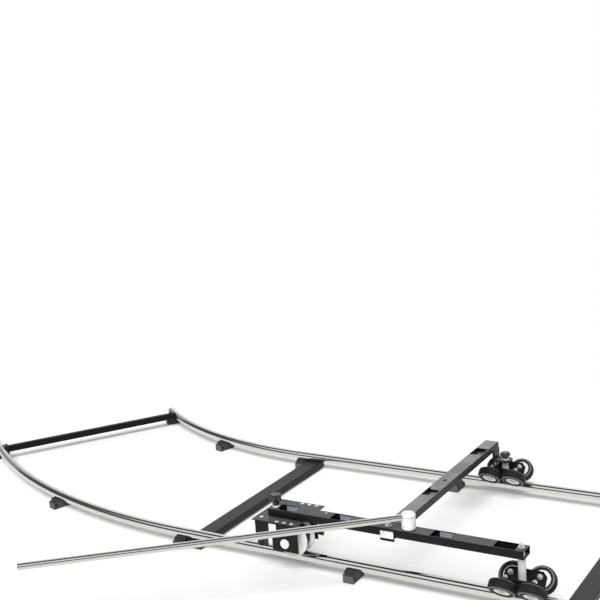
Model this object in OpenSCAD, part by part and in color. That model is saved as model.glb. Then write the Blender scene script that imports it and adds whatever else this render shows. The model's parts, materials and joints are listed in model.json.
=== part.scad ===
/* [Track] */
// Distance between the centrelines of the two rails
gauge = 620; // [450:10:800]
// Height of the rail centreline above the floor
rail_z = 37; // [32:1:50]
// Outside diameter of a rail tube
rail_d = 25.4; // [22:0.1:27]
// Wall thickness of a rail tube
rail_wall = 1.5; // [1:0.1:3]
// Length of a straight section
section_len = 1015; // [950:5:1500]
// Centreline radius of the outer rail on the curved section
curve_r = 1810; // [1600:10:3000]
// Angle that the curved section turns through
curve_angle = 37; // [36.2:0.1:45]
// Gap left between two sections at a joint
seam_gap = 0.4; // [0.2:0.1:1]

/* [Joint plugs] */
// Length of a plug that stands out of its rail
plug_out = 14; // [8:1:20]
// Length of a plug that is pressed into its rail
plug_in = 20; // [14:1:22]
// Length of the neck between a rail's end and the thick part of its plug
plug_neck = 0.6; // [0.4:0.1:1]
// Radial clearance of a plug in the next rail's socket
plug_slip = 0.3; // [0.1:0.05:0.5]
// Radial depth that the socket at the end of a rail is reamed out
socket_ream = 0.5; // [0.4:0.05:0.7]
// Length of the reamed socket at the end of a rail
socket_len = 24; // [21:1:60]
// Chamfer at the nose of a plug
plug_chamfer = 4; // [2:0.5:6]

/* [Ties and end bars] */
// Width of a tie along the rails
tie_w = 50; // [40:1:60]
// Height of a tie
tie_h = 20; // [16:1:20]
// Wall thickness of a tie
tie_wall = 2; // [1.5:0.1:3]
// Distance from a joint to the tie next to it
tie_from_seam = 7; // [6:1:20]
// Length of a tie past the centreline of each rail
tie_past_rail = 12; // [10:1:25]
// Shank diameter of a tie bolt
tie_bolt_d = 6; // [5:0.5:8]
// Side of the square end bar
end_bar_side = 20; // [15:1:25]
// Angle of the end bar along the curved section
end_bar_angle = 34.2; // [30:0.1:34.6]
// Gap between a rail clamp and the foot next to it
clamp_gap = 3; // [1:0.5:8]
// Length of a rail clamp along the rail
clamp_len = 28; // [24:1:40]
// Thickness of a rail clamp beside the rail
clamp_t = 11; // [8:1:16]

/* [Rubber feet] */
// Length of a foot along the rail
foot_len = 30; // [24:1:40]
// Width of a foot at the floor
foot_base = 60; // [50:1:80]
// Width of a foot at its top
foot_top = 43; // [36:1:48]
// Height of the top of a foot below the rail centreline
foot_drop = 2; // [1:0.5:6]
// Clearance between a foot's saddle and the rail
foot_fit = 0.3; // [0.2:0.1:1]
// Offset of the foot under a joint, along the rail
foot_offset = 10; // [7:1:14]
// Diameter of the hole through each side of a foot
foot_hole_d = 5; // [3:0.5:8]

/* [Dolly beams] */
// Distance of the dolly's middle from the first joint
dolly_x = 618; // [600:1:640]
// Width of the beam tubes
beam_w = 40; // [36:1:50]
// Height of the beam tubes
beam_h = 20; // [18:1:25]
// Wall thickness of the beam tubes
beam_wall = 2; // [1.5:0.1:3]
// Outside corner radius of the beam tubes
beam_corner = 3; // [2.5:0.5:5]
// Height of the underside of the beams above the rail centreline
beam_over_rail = 99; // [95:1:115]
// Length of the crossbar
crossbar_len = 664; // [658:1:760]
// Distance of each king bolt from the middle of the crossbar
king_reach = 320; // [318:1:322]
// Length of the arm past the centreline of the far rail
arm_past = 8; // [4:1:15]
// Sideways offset of the far king bolt from the arm
far_offset = 42; // [38:1:60]
// Width of the pockets cut in the tops of the beams
pocket_w = 34; // [24:1:34]
// Length of each pocket along its beam
pocket_len = 51; // [36:1:52]
// Distance of an inner pocket from the middle of the crossbar
pocket_inner_at = 132; // [110:1:160]
// Distance of an outer pocket from the middle of the crossbar
pocket_outer_at = 285; // [260:1:285]
// Distance of the first arm pocket from the crossbar's middle
pocket_arm_at = 227; // [200:1:260]
// Distance of the last arm pocket from the arm's far end
pocket_end_at = 93; // [70:1:130]

/* [Bogies] */
// Diameter of a guide wheel
wheel_d = 66; // [56:0.5:67]
// Width of a guide wheel
wheel_w = 25; // [18:1:26]
// Diameter of a wheel's hub
hub_d = 42; // [30:1:46]
// Gap between a wheel and the rail
wheel_gap = 0.5; // [0.3:0.1:1]
// Distance between the two axles on one side of a bogie
axle_pitch = 68; // [68:0.5:90]
// Gap between a wheel and its angle plate
wheel_side_gap = 3; // [2:0.5:5]
// Leg length of the angle plate
angle_leg = 45; // [43:1:50]
// Thickness of the angle plate
angle_t = 4; // [3:0.5:5]
// Length of the angle plate
angle_len = 97; // [95:1:120]
// Size of the angle plate's cut corners
angle_cut = 10; // [2:0.5:12]
// Diameter of the axle bolts and the king bolts
bolt_d = 8; // [6:0.5:8]
// Radial clearance of a turning fit
turn_fit = 0.05; // [0.02:0.01:0.1]
// Diameter of a post between a bogie and its beam
post_d = 18; // [16:0.5:24]
// Height of the top of the saddle block above the rail centreline
block_top = 37; // [37:1:46]
// Length of the saddle block along the rail
block_len = 36; // [28:1:40]
// Height of the plate under the far knob above the rail centreline
far_plate_z = 68; // [62:1:72]

/* [Push bar] */
// Diameter of the push bar
bar_d = 16; // [12:0.5:20]
// Wall thickness of the push bar
bar_wall = 1.5; // [1:0.1:3]
// Length of the push bar from the middle of the swivel block
bar_len = 888; // [600:1:1200]
// Angle of the push bar from the rails at rest
bar_angle = 39.6; // [25:0.1:80]
// Diameter of the swivel block
swivel_d = 34; // [32:1:44]
// Height of the swivel block
swivel_h = 38; // [37:1:60]
// Distance of the swivel block from the middle of the crossbar
swivel_at = 47; // [44:1:64]
// Height of the push bar's bore above the bottom of the block
swivel_bore_z = 28; // [22:1:28]

/* [Drive unit] */
// Distance of the drive wheel's axle behind the king bolt
drive_trail = 50; // [46:1:60]
// Tread diameter of the drive wheel
drive_tread_d = 68; // [60:1:72]
// Flange diameter of the drive wheel
drive_flange_d = 90; // [84:1:96]
// Gap between the two flanges of the drive wheel
drive_groove = 30; // [28:0.5:34]
// Thickness of each drive wheel flange
drive_flange_t = 5.5; // [4:0.5:8]
// Thickness of the drive unit's sheet metal
sheet_t = 2; // [1.5:0.5:4]
// Distance of the near cheek's outer face from the rail
near_cheek_y = 48; // [40:1:49]
// Distance of the far cheek's outer face from the rail
far_cheek_y = 48; // [44:1:50]
// Distance of the plate's near edge from the rail
plate_near = 50; // [50:1:60]
// Distance of the plate's far edge from the rail
plate_far = 88; // [86:1:95]
// Length of the plate before the king bolt
plate_front = 43; // [38:1:50]
// Length of the plate behind the king bolt
plate_back = 88; // [88:1:110]
// Depth of the cheek skirt below the plate
skirt_h = 36; // [30:1:40]
// Distance of the skirt's front end from the plate's front edge
skirt_in = 8; // [2:1:11]
// Distance between the two rows of holes in the plate
plate_row_gap = 122; // [110:1:124]
// Distance of the near row of holes from the plate's near edge
plate_row_inset = 9.5; // [8.5:0.5:14]
// Pitch of the holes in the plate's edges
plate_hole_pitch = 21; // [18:0.5:24]
// Diameter of the holes in the plate's edges
plate_hole_d = 7; // [4:0.5:7]
// Diameter of the gear motor
motor_d = 32; // [25:1:37]
// Length of the gear motor beyond the wheel
motor_len = 34; // [24:1:36]

/* [Knobs] */
// Diameter across the lobes of the left star knob
knob_d = 34; // [30:1:40]
// Height of the left star knob
knob_h = 28; // [24:1:34]
// Diameter across the lobes of the far star knob
far_knob_d = 30; // [24:1:32]
// Height of the far star knob
far_knob_h = 18; // [16:1:26]
// Number of lobes on a star knob
knob_lobes = 5; // [4:1:8]

/* [Hidden] */
$fn = 48;

steel_colour = [0.8, 0.81, 0.82];
black_colour = [0.13, 0.13, 0.14];
rubber_colour = [0.2, 0.2, 0.2];
nylon_colour = [0.93, 0.93, 0.92];
alu_colour = [0.82, 0.82, 0.8];

rail_r = rail_d / 2;
bore_r = rail_r - rail_wall;
slack = 0.3;
touch = 0.05;

tie_top = rail_z - rail_r - touch;
foot_h = rail_z - foot_drop;
inner_curve_r = curve_r - gauge;
b_start = section_len + seam_gap;
b_end = b_start + section_len;

beam_z = rail_z + beam_over_rail;
beam_top = beam_z + beam_h;
near_king = [dolly_x + king_reach, 0];
left_king = [dolly_x - king_reach, 0];
far_king = [dolly_x + far_offset, gauge];

wheel_r = wheel_d / 2;
wheel_at = rail_r + wheel_gap + wheel_r;
flank = wheel_w / 2 + wheel_side_gap;
apex_in = (flank + angle_t) * sqrt(2);

bolt_head_h = 5.3;
bolt_head_d = bolt_d * 1.62;
washer_t = 2;
king_head_z = apex_in - 1;
king_head_d = bolt_d * 1.5;
shank_fit = 0.2;

drive_x = left_king[0] + drive_trail;
drive_z = rail_z + rail_r + wheel_gap + drive_tread_d / 2;
axle_d = 10;
bush_d = 24;
bush_t = 3;
plate_z = beam_z - slack;
cheek_half = 37;
cheek_drop = 21;

// Rectangle with round corners, centred
module round_rect(w, h, r) {
    square([w - 2 * r, h], center = true);
    square([w, h - 2 * r], center = true);
    for (x = [-1, 1], y = [-1, 1])
        translate([x * (w / 2 - r), y * (h / 2 - r)])
            circle(r = r);
}

// Section of a rectangular tube, centred
module box_section(w, h, wall, corner) {
    difference() {
        round_rect(w, h, corner);
        round_rect(w - 2 * wall, h - 2 * wall, corner - wall + 0.5);
    }
}

// Children extruded along +X, their X becoming Y and their Y becoming Z
module along_x(length) {
    rotate([90, 0, 90])
        linear_extrude(length)
            children();
}

// Children set on the curved section at an angle, on the rail of a given radius
module on_curve(angle, radius) {
    translate([0, curve_r, 0])
        rotate([0, 0, -angle])
            translate([0, -radius, 0])
                children();
}

// Ring profile of a rail
module rail_ring() {
    difference() {
        circle(r = rail_r, $fn = 64);
        circle(r = bore_r, $fn = 64);
    }
}

// Reamed socket at the rail end at x, cut towards -X
module socket(x, y) {
    translate([x - socket_len, y, rail_z])
        along_x(socket_len + 1)
            circle(r = bore_r + socket_ream, $fn = 64);
}

module curved_rail(radius) {
    difference() {
        translate([0, curve_r, rail_z])
            rotate([0, 0, -90 - curve_angle])
                rotate_extrude(angle = curve_angle, $fn = 360)
                    translate([radius, 0])
                        rail_ring();
        socket(0, curve_r - radius);
    }
}

// Straight rail from x0 to x1 with a bolt hole over its tie and a reamed socket
module straight_rail(x0, x1, y) {
    difference() {
        translate([x0, y, rail_z])
            along_x(x1 - x0)
                rail_ring();
        socket(x1, y);
        translate([x0 + tie_from_seam + tie_w / 2, y, rail_z - rail_r - 1])
            cylinder(d = tie_bolt_d + 2 * shank_fit, h = rail_wall + 2);
    }
}

// Plug pressed into the rail that starts at x = 0 and stands out towards -X
module plug(gap) {
    in_r = bore_r - gap;
    out_r = bore_r + socket_ream - plug_slip;
    rotate([0, -90, 0])
        rotate_extrude()
            polygon([
                [0, -plug_in],
                [in_r - 1, -plug_in],
                [in_r, -plug_in + 1],
                [in_r, plug_neck],
                [out_r, plug_neck],
                [out_r, plug_out - plug_chamfer],
                [out_r - plug_chamfer * 0.7, plug_out],
                [0, plug_out]
            ]);
}

// Rubber foot under a rail, its middle at the origin and its base on the floor
module foot() {
    lip = 5;
    difference() {
        translate([-foot_len / 2, 0, 0])
            along_x(foot_len)
                difference() {
                    polygon([
                        [-foot_base / 2, 0],
                        [foot_base / 2, 0],
                        [foot_base / 2, lip],
                        [foot_top / 2, foot_h],
                        [-foot_top / 2, foot_h],
                        [-foot_base / 2, lip]
                    ]);
                    translate([0, rail_z])
                        circle(r = rail_r + foot_fit, $fn = 64);
                    for (s = [-1, 1])
                        translate([s * (foot_base / 2 - 10), lip + 6])
                            circle(d = foot_hole_d, $fn = 24);
                }
        strip = (foot_top / 2 + rail_r) / 2;
        for (s = [-1, 1], t = [-1, 1])
            translate([t * foot_len / 4, s * strip, foot_h - 1.5])
                cylinder(d = 3, h = 2, $fn = 24);
    }
}

// Tie under both rails, its left edge at x
module tie(x) {
    middle = x + tie_w / 2;
    difference() {
        translate([middle, -tie_past_rail, tie_top - tie_h / 2])
            rotate([-90, 0, 0])
                linear_extrude(gauge + 2 * tie_past_rail)
                    box_section(tie_w, tie_h, tie_wall, 3);
        for (y = [0, gauge]) {
            translate([middle, y, tie_top - tie_wall - 1])
                cylinder(d = tie_bolt_d + 2 * shank_fit, h = tie_wall + 2);
            translate([middle, y, tie_top - tie_h - 1])
                cylinder(d = tie_bolt_d * 2.4, h = tie_wall + 2);
        }
    }
}

module tie_bolts(x) {
    for (y = [0, gauge])
        translate([x + tie_w / 2, y, tie_top - tie_wall]) {
            cylinder(d = tie_bolt_d, h = tie_wall + rail_wall + 8);
            translate([0, 0, -4])
                cylinder(d = tie_bolt_d * 1.7, h = 4);
        }
}

// Clamp beside a rail whose centreline is the X axis, on its +Y side
module rail_clamp() {
    reach = rail_r + clamp_t;
    difference() {
        translate([-clamp_len / 2, 3, rail_z - 12])
            cube([clamp_len, reach - 3, 24]);
        translate([-clamp_len, 0, rail_z])
            along_x(2 * clamp_len)
                circle(r = rail_r + touch, $fn = 64);
    }
    for (t = [-1, 1])
        translate([t * 8, reach - 5, rail_z + 12])
            cylinder(d = 7, h = 3);
}

// Square bar between the clamps of two rails, along +Y from the outer rail
module end_bar() {
    start = rail_r + clamp_t + touch;
    translate([0, start, rail_z])
        rotate([-90, 0, 0])
            linear_extrude(gauge - 2 * start)
                box_section(end_bar_side, end_bar_side, 1.5, 2.5);
}

module end_clamps() {
    rail_clamp();
    translate([0, gauge, 0])
        mirror([0, 1, 0])
            rail_clamp();
}

module rail_outer_curve() { color(steel_colour) curved_rail(curve_r); }
module rail_inner_curve() { color(steel_colour) curved_rail(inner_curve_r); }
module end_bar_curve() { color(black_colour) on_curve(end_bar_angle, curve_r) end_bar(); }
module end_clamps_curve() { color(black_colour) on_curve(end_bar_angle, curve_r) end_clamps(); }

mid_foot_angle = end_bar_angle / 2;

// Middle and end foot of one curved rail, the end foot just past the clamp
module curve_feet(radius) {
    past_bar = (clamp_len + foot_len) / 2 + clamp_gap;
    color(rubber_colour)
        for (a = [mid_foot_angle, end_bar_angle + past_bar / radius * 180 / PI])
            on_curve(a, radius)
                foot();
}

module feet_outer_curve() { curve_feet(curve_r); }
module feet_inner_curve() { curve_feet(inner_curve_r); }

module plugs_curve() {
    bow = plug_in * plug_in / (2 * inner_curve_r);
    color(nylon_colour)
        for (radius = [curve_r, inner_curve_r])
            on_curve(curve_angle, radius)
                translate([0, 0, rail_z])
                    plug(touch + bow);
}

module rail_outer_a() { color(steel_colour) straight_rail(0, section_len, 0); }
module rail_inner_a() { color(steel_colour) straight_rail(0, section_len, gauge); }
module rail_outer_b() { color(steel_colour) straight_rail(b_start, b_end, 0); }
module rail_inner_b() { color(steel_colour) straight_rail(b_start, b_end, gauge); }
module tie_a() { color(black_colour) tie(tie_from_seam); }
module tie_b() { color(black_colour) tie(b_start + tie_from_seam); }
module tie_bolts_a() { color(steel_colour) tie_bolts(tie_from_seam); }
module tie_bolts_b() { color(steel_colour) tie_bolts(b_start + tie_from_seam); }

// Feet of a straight section at the given places along one rail
module straight_feet(places, y) {
    color(rubber_colour)
        for (x = places)
            translate([x, y, 0])
                foot();
}

feet_a = [-foot_offset, section_len / 2];
feet_b = [b_start - foot_offset, b_start + section_len / 2, b_end - foot_len / 2];

module feet_outer_a() { straight_feet(feet_a, 0); }
module feet_inner_a() { straight_feet(feet_a, gauge); }
module feet_outer_b() { straight_feet(feet_b, 0); }
module feet_inner_b() { straight_feet(feet_b, gauge); }

module section_plugs(x) {
    color(nylon_colour)
        for (y = [0, gauge])
            translate([x, y, rail_z])
                plug(touch);
}

module plugs_a() { section_plugs(0); }
module plugs_b() { section_plugs(b_start); }

end_bar_x = b_end - foot_len - clamp_gap - clamp_len / 2;
module end_bar_b() { color(black_colour) translate([end_bar_x, 0, 0]) end_bar(); }
module end_clamps_b() { color(black_colour) translate([end_bar_x, 0, 0]) end_clamps(); }

// Pocket cut through the top of a beam, centred at the origin
module pocket(lx, ly) {
    translate([-lx / 2, -ly / 2, beam_top - beam_wall - 1])
        cube([lx, ly, beam_wall + 2]);
}

module crossbar() {
    color(black_colour)
        difference() {
            translate([dolly_x - crossbar_len / 2, 0, beam_z + beam_h / 2])
                along_x(crossbar_len)
                    box_section(beam_w, beam_h, beam_wall, beam_corner);
            for (s = [-1, 1]) {
                for (d = [pocket_inner_at, pocket_outer_at])
                    translate([dolly_x + s * d, 0, 0])
                        pocket(pocket_len, pocket_w);
                translate([dolly_x + s * king_reach, 0, beam_z - 1])
                    cylinder(d = bolt_d + 2 * shank_fit, h = beam_h + 2);
            }
            translate([tee_bolt_x, tee_bolt_y, beam_z - 1])
                cylinder(d = bolt_d + 2 * shank_fit, h = beam_h + 2);
            translate([dolly_x + swivel_at, 0, beam_z - 1])
                cylinder(d = bolt_d + 2 * shank_fit, h = beam_h + 2);
        }
}

arm_start = beam_w / 2 + touch;
arm_end = gauge + arm_past;
tee_bolt_x = dolly_x - 4;
tee_bolt_y = -5;
hanger_bolt_y = arm_end - 14;

module arm() {
    color(black_colour)
        difference() {
            translate([dolly_x, arm_start, beam_z + beam_h / 2])
                rotate([-90, 0, 0])
                    linear_extrude(arm_end - arm_start)
                        box_section(beam_w, beam_h, beam_wall, beam_corner);
            for (y = [pocket_arm_at, arm_end - pocket_end_at])
                translate([dolly_x, y, 0])
                    pocket(pocket_w, pocket_len);
            translate([dolly_x, pocket_arm_at + pocket_len / 2 + 55, beam_top - beam_wall - 1])
                cylinder(d = 9, h = beam_wall + 2);
            translate([dolly_x, tee_arm_y, beam_z - 1])
                cylinder(d = hanger_bolt_d + 2 * shank_fit, h = beam_wall + 2);
            for (s = [-1, 1])
                translate([dolly_x + s * hanger_bolt_x, hanger_bolt_y, beam_z - 1])
                    cylinder(d = hanger_bolt_d + 2 * shank_fit, h = beam_wall + 2);
        }
}

tee_w = beam_w - 4;
tee_t = 3;
tee_depth = beam_w + 40;
tee_under = 6;
tee_arm_y = beam_w / 2 + 22;

// Angle bracket that holds the arm to the crossbar from below and in front
module tee_bracket() {
    color(black_colour)
        difference() {
            union() {
                translate([dolly_x - tee_w / 2, -beam_w / 2 - tee_t - touch, beam_z - tee_t - touch])
                    cube([tee_w, tee_depth, tee_t]);
                translate([dolly_x - tee_w / 2, -beam_w / 2 - tee_t - touch, beam_z - tee_t - tee_under])
                    cube([tee_w, tee_t, beam_h + tee_t + tee_under - beam_corner]);
            }
            translate([tee_bolt_x, tee_bolt_y, beam_z - 10])
                cylinder(d = bolt_d + 2 * shank_fit, h = 12);
            translate([dolly_x, tee_arm_y, beam_z - 10])
                cylinder(d = hanger_bolt_d + 2 * shank_fit, h = 12);
        }
}

// Bolt through the crossbar with its nut on top, and a screw up into the arm
module tee_bolt() {
    color(steel_colour) {
        translate([dolly_x, tee_arm_y, beam_z - tee_t - 4 - 2 * touch]) {
            cylinder(d = hanger_bolt_d * 1.6, h = 4);
            cylinder(d = hanger_bolt_d, h = 4 + tee_t + beam_wall + 5);
        }
        translate([tee_bolt_x, tee_bolt_y, 0]) {
            translate([0, 0, beam_z - tee_t - bolt_head_h - 2 * touch])
                cylinder(d = bolt_head_d, h = bolt_head_h, $fn = 6);
            translate([0, 0, beam_z - tee_t - 1])
                cylinder(d = bolt_d, h = beam_h + tee_t + washer_t + 9);
            translate([0, 0, beam_top + touch])
                cylinder(d = bolt_d * 2, h = washer_t);
            translate([0, 0, beam_top + washer_t])
                cylinder(d = bolt_head_d, h = bolt_head_h, $fn = 6);
        }
    }
}

hanger_w = 40;
hanger_t = 5;
hanger_bolt_x = 6;
hanger_bolt_d = 6;
hanger_web_x = dolly_x + 12;
far_plate_top = rail_z + far_plate_z + hanger_t;

// Stepped plate under the arm's far end that carries the far king bolt
module far_hanger() {
    top = beam_z - touch;
    color(black_colour)
        difference() {
            union() {
                translate([dolly_x - beam_w / 2, gauge - hanger_w / 2, top - hanger_t])
                    cube([hanger_web_x - dolly_x + beam_w / 2 + hanger_t, hanger_w, hanger_t]);
                translate([hanger_web_x, gauge - hanger_w / 2, rail_z + far_plate_z])
                    cube([hanger_t, hanger_w, top - rail_z - far_plate_z]);
                translate([hanger_web_x, gauge - hanger_w / 2, rail_z + far_plate_z])
                    cube([far_king[0] - hanger_web_x, hanger_w, hanger_t]);
                translate([far_king[0], far_king[1], rail_z + far_plate_z])
                    cylinder(d = hanger_w, h = hanger_t);
            }
            translate([far_king[0], far_king[1], rail_z + far_plate_z - 1])
                cylinder(d = bolt_d + 2 * shank_fit, h = hanger_t + 2);
            for (s = [-1, 1])
                translate([dolly_x + s * hanger_bolt_x, hanger_bolt_y, top - hanger_t - 1])
                    cylinder(d = hanger_bolt_d + 2 * shank_fit, h = hanger_t + 2);
        }
}

post_z = rail_z + block_top + slack;

// King bolt whose head is under a saddle block and whose shank ends at a height
module king_bolt(top) {
    translate([0, 0, rail_z + king_head_z])
        cylinder(d = king_head_d, h = bolt_head_h);
    translate([0, 0, rail_z + king_head_z + 1])
        cylinder(d = bolt_d, h = top - rail_z - king_head_z - 1);
}

module hex_nut() {
    cylinder(d = bolt_head_d, h = bolt_head_h, $fn = 6);
}

left_head_z = plate_z - sheet_t - slack;

module king_bolts() {
    color(steel_colour) {
        translate([near_king[0], near_king[1], 0]) {
            king_bolt(beam_top + washer_t + bolt_head_h + 3);
            translate([0, 0, beam_top + touch])
                cylinder(d = bolt_d * 2, h = washer_t);
            translate([0, 0, beam_top + washer_t])
                hex_nut();
        }
        translate([far_king[0], far_king[1], 0])
            king_bolt(far_plate_top + washer_t + knob_socket);
        translate([left_king[0], left_king[1], 0]) {
            translate([0, 0, left_head_z - bolt_head_h])
                cylinder(d = king_head_d * 1.3, h = bolt_head_h);
            translate([0, 0, left_head_z - 1])
                cylinder(d = bolt_d, h = beam_top + nylon_washer_t + knob_socket - left_head_z + 1);
        }
        for (s = [-1, 1])
            translate([dolly_x + s * hanger_bolt_x, hanger_bolt_y, beam_z - hanger_t - 4 - 2 * touch]) {
                cylinder(d = hanger_bolt_d * 1.6, h = 4);
                cylinder(d = hanger_bolt_d, h = 4 + hanger_t + beam_wall + 5);
            }
    }
}

// Turned sleeve round a bolt
module sleeve(d, h) {
    difference() {
        cylinder(d = d, h = h);
        translate([0, 0, -1])
            cylinder(d = bolt_d + 2 * shank_fit, h = h + 2);
    }
}

module posts() {
    in_h = beam_h - 2 * beam_wall - 2 * touch;
    color(alu_colour) {
        translate([near_king[0], near_king[1], post_z])
            sleeve(post_d, beam_z - touch - post_z);
        translate([far_king[0], far_king[1], post_z])
            sleeve(post_d, rail_z + far_plate_z - touch - post_z);
        for (k = [near_king, left_king])
            translate([k[0], k[1], beam_z + beam_wall + touch])
                sleeve(15, in_h);
    }
}

nylon_washer_t = 4;
module knob_washers() {
    color(nylon_colour) {
        translate([left_king[0], left_king[1], beam_top + touch])
            sleeve(18, nylon_washer_t - 2 * touch);
        translate([far_king[0], far_king[1], far_plate_top + touch])
            sleeve(20, washer_t - 2 * touch);
    }
}

knob_socket = 11;

// Star knob with round lobes, a waist below and a blind bore for its bolt
module star_knob(d, h) {
    lobe = d * 0.16;
    ring = d / 2 - lobe;
    grip = h * 0.57;
    color(black_colour)
        difference() {
            union() {
                cylinder(d = d * 0.54, h = h - grip + 0.5);
                translate([0, 0, h - grip])
                    cylinder(r = ring, h = grip);
                for (i = [0 : knob_lobes - 1])
                    rotate([0, 0, i * 360 / knob_lobes])
                        translate([ring, 0, h - grip + 1])
                            cylinder(r = lobe, h = grip - 2, $fn = 32);
            }
            translate([0, 0, -1])
                cylinder(r = bolt_d / 2 + turn_fit, h = knob_socket + 1.5);
        }
}

module star_knob_left() {
    translate([left_king[0], left_king[1], beam_top + nylon_washer_t + slack])
        star_knob(knob_d, knob_h);
}

module star_knob_far() {
    translate([far_king[0], far_king[1], far_plate_top + washer_t + slack])
        star_knob(far_knob_d, far_knob_h);
}

swivel_x = dolly_x + swivel_at;
swivel_washer_t = 1;
swivel_z = beam_top + swivel_washer_t + slack;
bar_z = swivel_z + swivel_bore_z;
bar_start = 9;

// Black washer and pivot bolt that the swivel block turns on
module swivel_washer() {
    color(black_colour)
        translate([swivel_x, 0, 0]) {
            translate([0, 0, beam_top + touch])
                cylinder(d = swivel_d - 4, h = swivel_washer_t);
            translate([0, 0, beam_z - bolt_head_h - touch])
                cylinder(d = king_head_d, h = bolt_head_h);
            translate([0, 0, beam_z - 1])
                cylinder(d = bolt_d, h = swivel_z + swivel_pivot_h - beam_z + 1);
        }
}

swivel_pivot_h = 12;

module at_swivel() {
    translate([swivel_x, 0, swivel_z])
        rotate([0, 0, 180 + bar_angle])
            children();
}

screw_angle = 35;
screw_z = 8;
screw_d = 5;

// Children on the axis of the grub screw, which points at the pivot bolt
module at_screw() {
    at_swivel()
        translate([0, 0, screw_z])
            rotate([0, 90, screw_angle])
                children();
}

// Nylon block with a bore for the bar and a slit beside it that ends in a round hole
module swivel_block() {
    r = swivel_d / 2;
    slit_z = swivel_bore_z + 2;
    color(nylon_colour)
        difference() {
            at_swivel()
                difference() {
                    rotate_extrude()
                        polygon([
                            [0, 0],
                            [r - 1.5, 0],
                            [r, 1.5],
                            [r, swivel_h - 3],
                            [r - 3, swivel_h],
                            [0, swivel_h]
                        ]);
                    translate([-bar_start - 1, 0, swivel_bore_z])
                        rotate([0, 90, 0])
                            cylinder(r = bar_d / 2 + touch, h = swivel_d);
                    translate([-5, 0, slit_z])
                        cube([swivel_d, swivel_d, 1.2]);
                    translate([-5, swivel_d, slit_z + 0.6])
                        rotate([90, 0, 0])
                            cylinder(d = 4, h = swivel_d, $fn = 24);
                    translate([0, 0, -1])
                        cylinder(r = bolt_d / 2 + turn_fit, h = swivel_pivot_h + 2);
                }
            at_screw()
                cylinder(d = screw_d + 2 * touch, h = swivel_d, $fn = 24);
        }
}

// Hand tube with a round plug at its free end
module push_bar() {
    color(steel_colour)
        at_swivel()
            translate([0, 0, swivel_bore_z])
                rotate([0, 90, 0]) {
                    translate([0, 0, -bar_start])
                        difference() {
                            cylinder(d = bar_d, h = bar_len + bar_start);
                            translate([0, 0, -1])
                                cylinder(d = bar_d - 2 * bar_wall, h = bar_len + bar_start - 2);
                        }
                }
}

// Grub screw in the side of the swivel block
module block_screw() {
    start = bolt_d / 2 + slack;
    color(steel_colour)
        at_screw()
            translate([0, 0, start])
                cylinder(d = screw_d, h = swivel_d / 2 - 1.5 - start, $fn = 24);
}

// Children in the frame of a wheel pair: Z runs from the rail's centre through
// the wheel's centre and Y runs outwards along its axle, on side s of the rail
module wheel_side(s) {
    translate([0, 0, rail_z])
        mirror([0, s < 0 ? 1 : 0, 0])
            rotate([-45, 0, 0])
                children();
}

// Angle plate with its corner down over the rail and four axle holes
module bogie_angle() {
    color(black_colour)
        difference() {
            union()
                for (s = [-1, 1])
                    wheel_side(s)
                        translate([-angle_len / 2, 0, 0])
                            along_x(angle_len)
                                polygon([
                                    [-flank, flank],
                                    [-flank, flank + angle_leg],
                                    [-flank - angle_t, flank + angle_leg],
                                    [-flank - angle_t, flank + angle_t]
                                ]);
            for (s = [-1, 1], x = [-1, 1])
                wheel_side(s) {
                    translate([x * axle_pitch / 2, 0, wheel_at])
                        rotate([90, 0, 0])
                            cylinder(d = bolt_d + 2 * shank_fit, h = flank + angle_t + 2);
                    translate([x * angle_len / 2, -flank - angle_t / 2, flank + angle_leg])
                        rotate([0, 45, 0])
                            cube([angle_cut * sqrt(2), angle_t + 2, angle_cut * sqrt(2)], center = true);
                }
            translate([0, 0, rail_z])
                cylinder(d = king_head_d + 2, h = apex_in + 12);
        }
}

// Block that sits in the angle plate and turns on the king bolt
module bogie_block() {
    half = block_top - apex_in - touch;
    low = king_head_z + 3;
    color(black_colour)
        difference() {
            translate([-block_len / 2, 0, rail_z])
                along_x(block_len)
                    polygon([
                        [-half, block_top],
                        [half, block_top],
                        [low - apex_in, low + touch * 2],
                        [apex_in - low, low + touch * 2]
                    ]);
            translate([0, 0, rail_z])
                cylinder(r = bolt_d / 2 + turn_fit, h = 2 * block_top);
            translate([0, 0, rail_z])
                cylinder(d = king_head_d + 2 * slack, h = king_head_z + bolt_head_h + slack);
        }
}

axle_washer_t = wheel_side_gap - slack;
hub_recess = 5;

// Four axle bolts with heads in the hubs, washers and domed nuts inside the angle
module bogie_axles() {
    color(steel_colour)
        for (s = [-1, 1], x = [-1, 1])
            wheel_side(s)
                translate([x * axle_pitch / 2, 0, wheel_at])
                    rotate([90, 0, 0]) {
                        translate([0, 0, -wheel_w / 2 + hub_recess - slack - 4.5])
                            cylinder(d = bolt_d * 1.5, h = 4.5);
                        translate([0, 0, -wheel_w / 2 + hub_recess - slack - 1])
                            cylinder(d = bolt_d, h = wheel_w / 2 - hub_recess + flank + angle_t + 6);
                        translate([0, 0, flank - axle_washer_t])
                            cylinder(d = bolt_d * 1.75, h = axle_washer_t - touch);
                        translate([0, 0, flank + angle_t + touch]) {
                            cylinder(d = bolt_d * 1.6, h = 5);
                            translate([0, 0, 5])
                                intersection() {
                                    sphere(d = bolt_d * 1.5);
                                    cylinder(d = bolt_d * 2, h = bolt_d);
                                }
                        }
                    }
}

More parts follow.
